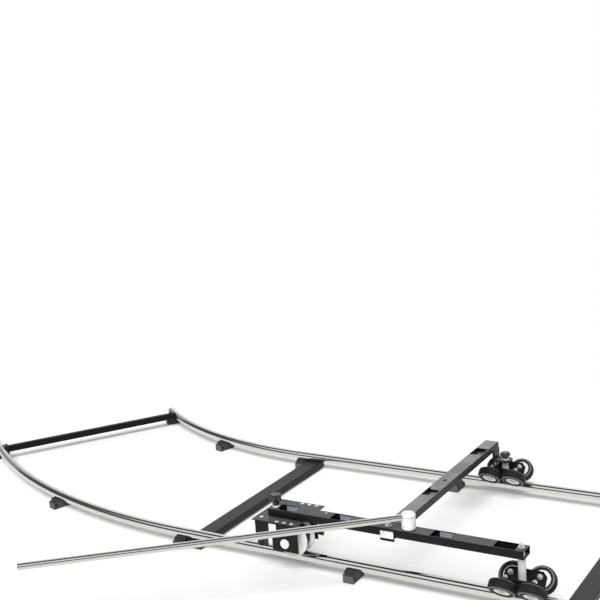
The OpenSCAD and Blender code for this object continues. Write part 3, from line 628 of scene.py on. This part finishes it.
def rod(shape, centre, axis, radius, start, end, lead=0.0008):
    """A round rod with chamfered ends."""
    profile = np.array(
        [
            (1e-5, start),
            (radius - lead, start),
            (radius, start + lead),
            (radius, end - lead),
            (radius - lead, end),
            (1e-5, end),
        ]
    )
    shape.revolve(profile, centre, axis, 48)


def joint(name):
    return next(j for j in frame["joints"] if j["name"] == name)


def outward(axis):
    """The wheel axis turned to point away from the bogie, which is downwards."""
    axis = np.array(axis, float)
    axis /= np.linalg.norm(axis)
    return axis if axis[2] < 0 else -axis


# Add-on


class TrackSettings(bpy.types.PropertyGroup):
    """Sizes that the dressed pieces share, in metres."""

    wheel_radius: bpy.props.FloatProperty(name="Wheel radius", default=0.033, min=0.028, max=0.035)
    wheel_width: bpy.props.FloatProperty(name="Wheel width", default=0.025, min=0.018, max=0.026)
    hub_radius: bpy.props.FloatProperty(name="Hub radius", default=0.0218, min=0.018, max=0.024)
    hub_ribs: bpy.props.IntProperty(name="Hub ribs", default=6, min=3, max=10)
    knob_lobes: bpy.props.IntProperty(name="Knob lobes", default=5, min=3, max=9)
    axle_radius: bpy.props.FloatProperty(name="Axle radius", default=0.004, min=0.003, max=0.005)
    key_strength: bpy.props.FloatProperty(name="Key light", default=3.2, min=0.0, max=10.0)
    fill_strength: bpy.props.FloatProperty(name="Fill light", default=0.28, min=0.0, max=10.0)


def settings():
    return bpy.context.scene.track_settings


class TRACK_OT_finishes(bpy.types.Operator):
    """Give every CAD node its procedural finish"""

    bl_idname = "track.finishes"
    bl_label = "Finish the CAD nodes"

    def execute(self, context):
        slots = {s["slot"]: tuple(s["base_color"][:3]) for s in frame["record"]["materials"]}
        axle = joint("drive_wheel_spin")["pos_m"]
        made = {
            "rail_steel": polished_steel("rail_steel", slots["rail_steel"]),
            "bar_steel": polished_steel("bar_steel", slots["bar_steel"], (12, 12, 60), 0.12),
            "black_coat": powder_coat("black_coat", slots["black_coat"]),
            "rubber": dull_rubber("rubber", slots["rubber"]),
            "wheel_tyre": tyre_rubber("wheel_tyre", slots["wheel_tyre"]),
            "nylon": turned_nylon("nylon", slots["nylon"], (axle[0], axle[2])),
            "bolt_steel": bright_plate("bolt_steel", slots["bolt_steel"]),
            "post_aluminium": turned_aluminium("post_aluminium", slots["post_aluminium"]),
            "black_plastic": moulded_plastic("black_plastic", slots["black_plastic"]),
            "motor_steel": brushed_case("motor_steel", slots["motor_steel"]),
        }
        made["plate_film"] = bare_plate("plate_film", (0.86, 0.86, 0.86))
        made["pocket_metal"] = pocket_metal("pocket_metal", (0.56, 0.61, 0.67))
        FINISHES.update(made)
        black = slots["black_coat"]
        # Painted light and shade: the end bars and ties get darker copies of the black coat, and the arm
        # a copy with more painted light on its top.
        shaded_end_bar_coat = powder_coat("end_bar_coat_shaded", dark(black, 0.2), 0.0)
        shaded_tie_coat = powder_coat("tie_coat_shaded", dark(black, 0.8), 0.02)
        special = {"end_bar_curve": shaded_end_bar_coat, "end_bar_b": shaded_end_bar_coat}
        special.update(tie_a=shaded_tie_coat, tie_b=shaded_tie_coat, arm=powder_coat("arm_coat_lit", black, 0.3))
        for part in frame["record"]["subparts"]:
            finish = special.get(part["node"], made[part["material_slot"]])
            for slot in frame["nodes"][part["node"]].material_slots:
                slot.material = finish
        return {"FINISHED"}


class TRACK_OT_feet(bpy.types.Operator):
    """Model the rubber feet: a ledge at each end, a cradle under the tube, a side groove"""

    bl_idname = "track.feet"
    bl_label = "Rubber feet"

    def places(self, node):
        """Centre, long direction, length and width of each foot's rectangular base.

        The base's turn is the one whose bounding rectangle has the least area.
        """
        mesh = node.data
        flat = np.empty(len(mesh.vertices) * 3, np.float32)
        mesh.vertices.foreach_get("co", flat)
        world = np.array(node.matrix_world)
        points = flat.reshape(-1, 3) @ world[:3, :3].T + world[:3, 3]
        base = points[points[:, 2] < points[:, 2].min() + 0.001][:, :2]
        found = []
        while len(base):
            near = np.linalg.norm(base - base[0], axis=1) < 0.09
            group, base = base[near], base[~near]
            best = None
            for turn in np.radians(np.arange(0, 180, 0.1)):
                along = np.array([np.cos(turn), np.sin(turn)])
                across = np.array([-along[1], along[0]])
                a, b = group @ along, group @ across
                size = np.array([np.ptp(a), np.ptp(b)])
                middle = along * (a.max() + a.min()) / 2 + across * (b.max() + b.min()) / 2
                if size[0] > size[1] and (best is None or np.prod(size) < best[0]):
                    best = (np.prod(size), middle, along, size)
            found.append(best[1:])
        return found

    def outline(self, half):
        """Section across the rail: end faces, nearly level ledges, a rim and the cradle."""
        right = [(half, 0.0), (half, 0.0195), (0.0195, 0.0218), (0.0180, 0.0280)]
        left = [(-y, z) for y, z in reversed(right)]
        return fillet(right + left, 0.0012, 4, closed=True)

    def foot(self, shape, middle, along, size):
        """Lofts the section along the rail; rows hold the place along it and the scale."""
        reach = size[0] / 2 * FOOT_REACH
        section = self.outline(reach)
        along = np.array([*along, 0.0])
        rail = np.array([-along[1], along[0], 0.0])
        centre = np.array([*middle, 0.0])
        up = np.array([0, 0, 1.0])
        pivot = np.array([0, 0.010])
        end = size[1] / 2 - 0.0004
        cap = [(end, 0.001), (end, 0.5), (end, 0.86), (end - 0.0007, 0.875)]
        cap += [(end - 0.0007, 0.895), (end, 0.91), (end, 0.975), (end - 0.0005, 0.998)]
        rows = [(-e, k) for e, k in cap] + [(-0.004, 1.0), (0.004, 1.0)]
        rows += [(e, k) for e, k in reversed(cap)]
        points, marks = [], []
        # Painted light: the outer faces are marked 1 and the end faces 0.3, and the rubber is painted
        # paler there.
        face = (np.abs(section[:, 0]) > reach - 0.0004).astype(float)
        for place, scale in rows:
            flat = pivot + (section - pivot) * scale
            points.append(
                centre + rail * place + np.outer(flat[:, 0], along) + np.outer(flat[:, 1], up)
            )
            marks.append(face if scale > 0.99 else face * 0 + 0.3)
        shape.grid(np.array(points), wrap_v=True, mark=np.array(marks))
        # Painted shade: shallow cups on the end faces, marked 2 and painted nearly black where the holes
        # are.
        cup = np.array([(0.0037, 0), (0.0036, 0.0003), (0.0034, 0.0003), (0.0032, 0.0001)])
        cup = np.concatenate([cup, [(1e-5, 0.0001)]])
        for side in (-1, 1):
            for hand in (-1, 1):
                hole = centre + rail * end * side + up * 0.0125
                hole = hole + along * hand * (reach - 0.0085)
                shape.revolve(cup, hole, rail * side, 24, mark=[2, 2, 2, 2, 2])

    def execute(self, context):
        rubber = FINISHES["rubber"]
        for rail in ("outer", "inner"):
            for section, pull in FEET.items():
                name = f"feet_{rail}_{section}"
                body = joint(pull)["child"] if pull else joint("section_b_pull")["parent"]
                shape = Shape()
                for middle, along, size in self.places(frame["nodes"][name]):
                    self.foot(shape, middle, along, size)
                shape.build(f"{name}_moulded", rubber, body, (name,), 35)
        return {"FINISHED"}


class TRACK_OT_wheels(bpy.types.Operator):
    """Model the guide wheels: tyre, ribbed hub and shielded bearing"""

    bl_idname = "track.wheels"
    bl_label = "Guide wheels"

    def tyre_profile(self, s):
        """Closed section: crowned tread, round shoulders, a raised ring on each side wall."""
        half, r, hub = s.wheel_width / 2, s.wheel_radius, s.hub_radius
        lip = hub - 0.0026
        side = [(lip, 0.8 * half), (lip + 0.0005, half - 0.0005), (lip + 0.0036, half - 0.0005)]
        side += [(lip + 0.0042, half - 0.0018), (hub + 0.0042, half - 0.0018)]
        side += [(hub + 0.0048, half - 0.0002), (hub + 0.0080, half - 0.0014)]
        side += [(hub + 0.0085, half - 0.0026), (r - 0.0012, half - 0.0032), (r, half * 0.4)]
        back = [(r, -half * 0.4), (r - 0.0012, -half + 0.0028), (hub + 0.0077, -half + 0.0022)]
        back += [(hub + 0.0072, -half + 0.0006), (hub + 0.0048, -half + 0.0002)]
        back += [(hub + 0.0040, -half + 0.0014), (hub + 0.0016, -half + 0.0014)]
        back += [(hub + 0.0011, -half + 0.0003), (hub + 0.0003, -half + 0.0003), (hub, -half + 0.0035)]
        return fillet(side + back, 0.0007, 4, closed=True)

    def hub_profile(self, s):
        """Closed section of the hub: outer web and edge, a stepped wall, the inner web."""
        half, wide = s.wheel_width / 2, s.hub_radius - 0.0001
        narrow = wide - 0.0027
        front = [(0.0088, half - 0.0060), (0.0092, half - 0.0030)]
        front += [(a, half - 0.0022) for a in np.linspace(0.0097, narrow - 0.0008, 16)]
        front += [(narrow, half - 0.0030), (narrow, -half * 0.5), (wide, -half * 0.6)]
        rear = [(wide, -half + 0.0044)]
        rear += [(a, -half + 0.0036) for a in np.linspace(wide - 0.0008, 0.0097, 18)]
        rear += [(0.0092, -half + 0.0044), (0.0088, -half + 0.0070)]
        return np.array(front + rear)

    def execute(self, context):
        s = settings()
        tyre = FINISHES["wheel_tyre"]
        nylon = FINISHES["nylon"]
        steel = FINISHES["bolt_steel"]
        section = self.tyre_profile(s)
        # Painted highlight: rows near the side wall's ridge are marked for a paler colour.
        ridge = s.hub_radius + 0.0064
        highlight_rows = (np.abs(section[:, 0] - ridge) < 0.0019).astype(float)
        half = s.wheel_width / 2
        edge = s.hub_radius - 0.0040

        def ribs(r, h, t):
            """Sinks the webs between ribs: 1 mm deep, from a clipped cosine of the angle."""
            window = np.clip((r - 0.0105) / 0.002, 0, 1) * np.clip((edge - r) / 0.0015, 0, 1)
            between = np.clip(np.cos(s.hub_ribs * t) * 1.6 + 0.55, 0, 1)
            face = np.abs(h) > half * 0.65
            return r, h - np.sign(h) * 0.0010 * window * between * face

        hub_profile = self.hub_profile(s)
        shield = fillet(
            [(s.axle_radius + 0.0002, half - 0.0063), (0.0058, half - 0.0063), (0.006, half - 0.0069)]
            + [(0.0078, half - 0.0069), (0.008, half - 0.0061), (0.0088, half - 0.0061)],
            0.0003,
        )
        for prefix, body in WHEEL_SETS.items():
            for number in range(1, 5):
                wheel = f"{prefix}_wheel_{number}"
                spin = joint(f"{wheel}_spin")
                centre, axis = spin["pos_m"], outward(spin["axis"])
                rides = spin["child"]
                shape = Shape()
                shape.revolve(section, centre, axis, 128, closed=True, mark=highlight_rows)
                shape.build(f"{wheel}_tyre", tyre, rides, (wheel,), 50)
                shape = Shape()
                shape.revolve(hub_profile, centre, axis, 144, ribs, closed=True)
                shape.build(f"{wheel}_hub", nylon, rides, (), 30)
                shape = Shape()
                shape.revolve(shield, centre, axis, 72)
                shape.revolve(shield * [1, -1] - [0, 0.0006], centre, axis, 72)
                shape.build(f"{wheel}_bearing", steel, rides)
        return {"FINISHED"}


class TRACK_OT_axles(bpy.types.Operator):
    """Model the bogies' axle bolts with cap heads, washers and domed nuts"""

    bl_idname = "track.axles"
    bl_label = "Axle bolts"

    def execute(self, context):
        steel = FINISHES["bolt_steel"]
        half = settings().wheel_width / 2
        for prefix, body in WHEEL_SETS.items():
            shape = Shape()
            for number in range(1, 5):
                spin = joint(f"{prefix}_wheel_{number}_spin")
                axis = outward(spin["axis"])
                centre = np.array(spin["pos_m"])
                socket_head(shape, centre + axis * (half - 0.0047), axis, 0.006, 0.0044, 0.0032)
                rod(shape, centre, axis, settings().axle_radius, -half - 0.0117, half - 0.0045)
                washer(shape, centre - axis * (half + 0.00294), axis, 0.007, 0.0026, 0.0042)
                dome_nut(shape, centre - axis * (half + 0.00706), -axis, 0.0126, 0.0032, 0.0106)
            shape.build(f"{prefix}_axle_set", steel, body, (f"{prefix}_axles",), 35)
        return {"FINISHED"}


class TRACK_OT_knobs(bpy.types.Operator):
    """Model the star knobs with soft lobes, a waist and a domed top"""

    bl_idname = "track.knobs"
    bl_label = "Star knobs"

    def knob(self, name, body, low, radius, height, lobes):
        """Lobed round: radius times 1 - 0.38 grip(h) (1 - |cos(n t / 2)|^1.3)."""
        grip = height * 0.43
        outline = fillet(
            [
                (1e-5, 0),
                (radius * 0.52, 0),
                (radius * 0.5, grip * 0.92),
                (radius * 0.97, grip * 1.08),
                (radius * 0.99, height * 0.9),
                (radius * 0.72, height * 0.995),
                (1e-5, height * 0.985),
            ],
            radius * 0.16,
            6,
        )
        dense = []
        for a, b in zip(outline[:-1], outline[1:]):
            dense += [a + (b - a) * k / 3 for k in range(3)]
        profile = np.array(dense + [outline[-1]])

        def lobe(r, h, t):
            wave = 1 - np.abs(np.cos(lobes * t / 2)) ** 1.3
            hold = np.clip((h - grip) / (grip * 0.15), 0, 1)
            share = np.clip(r / radius, 0, 1) ** 2
            return r * (1 - 0.38 * wave * hold * share), h

        shape = Shape()
        shape.revolve(profile, low, (0, 0, 1), 160, lobe)
        plastic = FINISHES["black_plastic"]
        shape.build(f"{name}_grip", plastic, body, (name,), 60)

    def execute(self, context):
        lobes = settings().knob_lobes
        for name, body in (("star_knob_left", "knob_left"), ("star_knob_far", "knob_far")):
            low, high = (np.array(v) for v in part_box(name))
            turn = "knob_left_turn" if body == "knob_left" else "knob_far_turn"
            middle = np.array(joint(turn)["pos_m"][:2])
            radius = high[0] - middle[0]
            place = (middle[0], middle[1], low[2])
            self.knob(name, body, place, radius, high[2] - low[2], lobes)
        return {"FINISHED"}


class TRACK_OT_plates(bpy.types.Operator):
    """Fix the two blank plates: one on the tee bracket, one on the drive unit's skirt"""

    bl_idname = "track.plates"
    bl_label = "Blank plates"

    def execute(self, context):
        film = FINISHES["plate_film"]
        low, high = (np.array(v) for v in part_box("tee_bracket"))
        shape = Shape()
        middle = ((low[0] + high[0]) / 2, low[1] - 0.0001, high[2] - 0.0105)
        shape.slab(middle, (1, 0, 0), (0, 0, 1), (0.0345, 0.0175), 0.0006, 0.1)
        shape.build("tee_plate_blank", film, "dolly", (), 25)
        low, high = (np.array(v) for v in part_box("drive_cheeks"))
        shape = Shape()
        middle = (low[0] + 0.051, low[1] - 0.0001, high[2] - 0.016)
        shape.slab(middle, (1, 0, 0), (0, 0, 1), (0.021, 0.026), 0.0006, 0.1)
        shape.build("skirt_plate_blank", film, "drive_unit", (), 25)
        return {"FINISHED"}


class TRACK_OT_hardware(bpy.types.Operator):
    """Fit the bare walls seen in the pockets, a painted highlight on the arm pocket's lip, painted light
    in the plate's holes and a button screw
    """

    bl_idname = "track.hardware"
    bl_label = "Pocket walls, caps and screw"

    def pocket_walls(self):
        """Bare strips on the crossbar pockets' far walls, and a pale strip on the arm pocket's far lip
        as a painted highlight.
        """
        metal = FINISHES["pocket_metal"]
        low, high = (np.array(v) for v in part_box("crossbar"))
        middle = (low + high) / 2
        deep = high[2] - WALL_STRIP_DEEP
        shape = Shape()
        for along in POCKETS_CROSSBAR:
            place = (middle[0] + along + WALL_STRIP_SHIFT, middle[1] + POCKET_WALL_AT, deep)
            shape.slab(place, (1, 0, 0), (0, 0, 1), WALL_STRIP, 0.0006, 0.12)
        shape.build("crossbar_pocket_walls", metal, "dolly", (), 25)
        # Painted highlight: a pale strip along the arm pocket's far rim.
        shape = Shape()
        place = (middle[0], ARM_LIP_AT - 0.0001, high[2] - 0.0031)
        shape.slab(place, (1, 0, 0), (0, 0, 1), (0.031, 0.006), 0.0006, 0.12)
        shape.build("arm_pocket_lip_highlight", metal, "dolly", (), 25)

    def caps(self):
        """Painted light in the drive plate's holes: low bright domes, a quarter sine from rim to crown.
        """
        turn = np.linspace(0, np.pi / 2, 8)
        profile = np.stack([0.0050 * np.cos(turn) + 1e-5, 0.0009 * np.sin(turn)], -1)
        shape = Shape()
        for x, y in HOLE_LIGHT_PLACES:
            shape.revolve(profile, (x, y, PLATE_TOP), (0, 0, 1), 32)
        rim = FINISHES["post_aluminium"]
        shape.build("plate_hole_light", rim, "drive_unit")

    def execute(self, context):
        self.pocket_walls()
        self.caps()
        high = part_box("crossbar")[1]
        shape = Shape()
        screw = fillet([(0.0032, 0), (0.0031, 0.0008), (0.0022, 0.0017), (1e-5, 0.0019)], 0.0008)
        shape.revolve(screw, (SCREW_AT[0], SCREW_AT[1], high[2]), (0, 0, 1), 40)
        shape.build("crossbar_screw", FINISHES["bolt_steel"], "dolly")
        return {"FINISHED"}


class TRACK_OT_stage(bpy.types.Operator):
    """Set the floor, the world, the lamps and the camera"""

    bl_idname = "track.stage"
    bl_label = "Studio"

    def floor(self):
        """A pale floor: white to the camera far out and between the straight rails."""
        reach = np.linspace(-14, 14, 29)
        x, y = np.meshgrid(reach, reach, indexing="ij")
        shape = Shape()
        shape.grid(np.stack([x + 0.6, y + 0.3, np.full_like(x, -0.0002)], -1))
        mesh = bpy.data.meshes.new("floor")
        mesh.from_pydata(np.concatenate(shape.points).tolist(), [], np.concatenate(shape.faces).tolist())
        obj = bpy.data.objects.new("floor", mesh)
        bpy.context.scene.collection.objects.link(obj)
        f = Finish("floor_paper", (0.98, 0.98, 0.98), 0.9)
        paper = f.noise(3, 2.0)
        path = f.node("ShaderNodeLightPath")
        camera = Value(f.tree, path.outputs["Is Camera Ray"])
        mirror = Value(f.tree, path.outputs["Is Glossy Ray"])
        sheet = f.mix(paper, (0.84, 0.84, 0.84), (0.82, 0.82, 0.825))
        f.feed("Base Color", f.mix(camera, sheet, (0.985, 0.985, 0.985)))
        f.shader.inputs["Specular IOR Level"].default_value = 0.0
        across, along = f.axis("X") - 0.45, f.axis("Y") - 0.3
        away = (across * across + along * along * 2.0) ** 0.5
        reach_y = f.axis("Y")
        glow = reach_y.step(0.05, 0.13) * (1.0 - reach_y.step(0.46, 0.54)) * 0.65
        glow = glow * f.axis("X").step(0.0, 0.2)
        white = f.node("ShaderNodeEmission", {"Color": (1, 1, 1, 1), "Strength": 1.0})
        cream = f.node("ShaderNodeEmission", {"Color": (1, 0.975, 0.9, 1), "Strength": 0.9})
        far = f.node(
            "ShaderNodeMixShader",
            {
                "Fac": camera * (away.step(1.2, 2.4) + glow).clamp(),
                1: f.shader.outputs[0],
                2: white.outputs[0],
            },
        )
        near = f.node(
            "ShaderNodeMixShader",
            {"Fac": mirror * 0.75, 1: far.outputs[0], 2: cream.outputs[0]},
        )
        f.tree.links.new(near.outputs[0], f.tree.nodes["Material Output"].inputs["Surface"])
        mesh.materials.append(f.material)

    def world(self):
        """White to the camera, an even glow to matt surfaces, and a studio to bright ones.

        The studio is two long light walls, left dark overhead along X, at the front's foot
        and towards the curve's far end.
        """
        world = bpy.data.worlds.new("studio")
        bpy.context.scene.world = world
        world.use_nodes = True
        tree = world.node_tree
        place = tree.nodes.new("ShaderNodeTexCoord")
        split = tree.nodes.new("ShaderNodeSeparateXYZ")
        tree.links.new(place.outputs["Generated"], split.inputs[0])
        x, y, rise = (Value(tree, split.outputs[letter]) for letter in "XYZ")
        lean = y / ((y * y + rise * rise) ** 0.5 + 0.0001)
        overhead = 1.0 - (lean * lean).step(0.09, 0.19)
        foot = (1.0 - rise.step(0.4, 0.52)) * (0.0 - y).step(0.0, 0.05)
        end_wall = (0.0 - x).step(0.62, 0.86) * rise.step(0.0, 0.05) * 0.7
        walls = 0.9 - (overhead + foot + end_wall).clamp() * 0.82
        path = tree.nodes.new("ShaderNodeLightPath")
        camera = Value(tree, path.outputs["Is Camera Ray"])
        mirror = Value(tree, path.outputs["Is Glossy Ray"])
        strength = camera + (1.0 - camera) * (mirror * walls + (1.0 - mirror) * 0.25)
        back = tree.nodes["Background"]
        back.inputs["Color"].default_value = (1, 1, 1, 1)
        tree.links.new(strength.socket, back.inputs["Strength"])

    def lamp(self, name, aim, spread, strength):
        """A broad far lamp that shines along aim, kept out of mirror reflections."""
        data = bpy.data.lights.new(name, "SUN")
        data.angle = np.radians(spread)
        data.energy = strength
        obj = bpy.data.objects.new(name, data)
        bpy.context.scene.collection.objects.link(obj)
        obj.visible_glossy = False
        back = -np.array(aim, float)
        back /= np.linalg.norm(back)
        side = np.cross((0, 0, 1), back)
        side /= np.linalg.norm(side)
        basis = np.eye(4)
        basis[:3, 0], basis[:3, 1], basis[:3, 2] = side, np.cross(back, side), back
        obj.matrix_world = Matrix(basis.tolist())

    def camera(self):
        data = bpy.data.cameras.new("camera")
        data.lens = CAMERA_LENS
        data.sensor_width = 36
        data.clip_end = 60
        obj = bpy.data.objects.new("camera", data)
        bpy.context.scene.collection.objects.link(obj)
        turn = Matrix.Rotation(np.radians(CAMERA_YAW), 4, "Z")
        tilt = Matrix.Rotation(np.radians(90 - CAMERA_PITCH), 4, "X")
        roll = Matrix.Rotation(np.radians(CAMERA_ROLL), 4, "Z")
        obj.matrix_world = Matrix.Translation(CAMERA_PLACE) @ turn @ tilt @ roll
        bpy.context.scene.camera = obj

    def execute(self, context):
        self.floor()
        self.world()
        self.lamp("key", (-0.35, 0.85, -1.05), 36, settings().key_strength)
        self.lamp("fill", (0.25, -0.62, -1.0), 40, settings().fill_strength)
        self.camera()
        view = bpy.context.scene.view_settings
        view.view_transform = "Standard"
        return {"FINISHED"}


class TRACK_PT_panel(bpy.types.Panel):
    """Buttons and sizes for the dressed track"""

    bl_label = "Dolly track"
    bl_idname = "TRACK_PT_panel"
    bl_space_type = "VIEW_3D"
    bl_region_type = "UI"
    bl_category = "Track"

    def draw(self, context):
        for name in TrackSettings.__annotations__:
            self.layout.prop(context.scene.track_settings, name)
        for operator in OPERATORS:
            self.layout.operator(operator.bl_idname)


OPERATORS = (
    TRACK_OT_finishes,
    TRACK_OT_feet,
    TRACK_OT_wheels,
    TRACK_OT_axles,
    TRACK_OT_knobs,
    TRACK_OT_plates,
    TRACK_OT_hardware,
    TRACK_OT_stage,
)


def register():
    for cls in (TrackSettings, *OPERATORS, TRACK_PT_panel):
        bpy.utils.register_class(cls)
    bpy.types.Scene.track_settings = bpy.props.PointerProperty(type=TrackSettings)


def unregister():
    del bpy.types.Scene.track_settings
    for cls in (TRACK_PT_panel, *reversed(OPERATORS), TrackSettings):
        bpy.utils.unregister_class(cls)


def main():
    register()
    bpy.ops.track.finishes()
    bpy.ops.track.feet()
    bpy.ops.track.wheels()
    bpy.ops.track.axles()
    bpy.ops.track.knobs()
    bpy.ops.track.plates()
    bpy.ops.track.hardware()
    bpy.ops.track.stage()


if __name__ == "__main__":
    main()
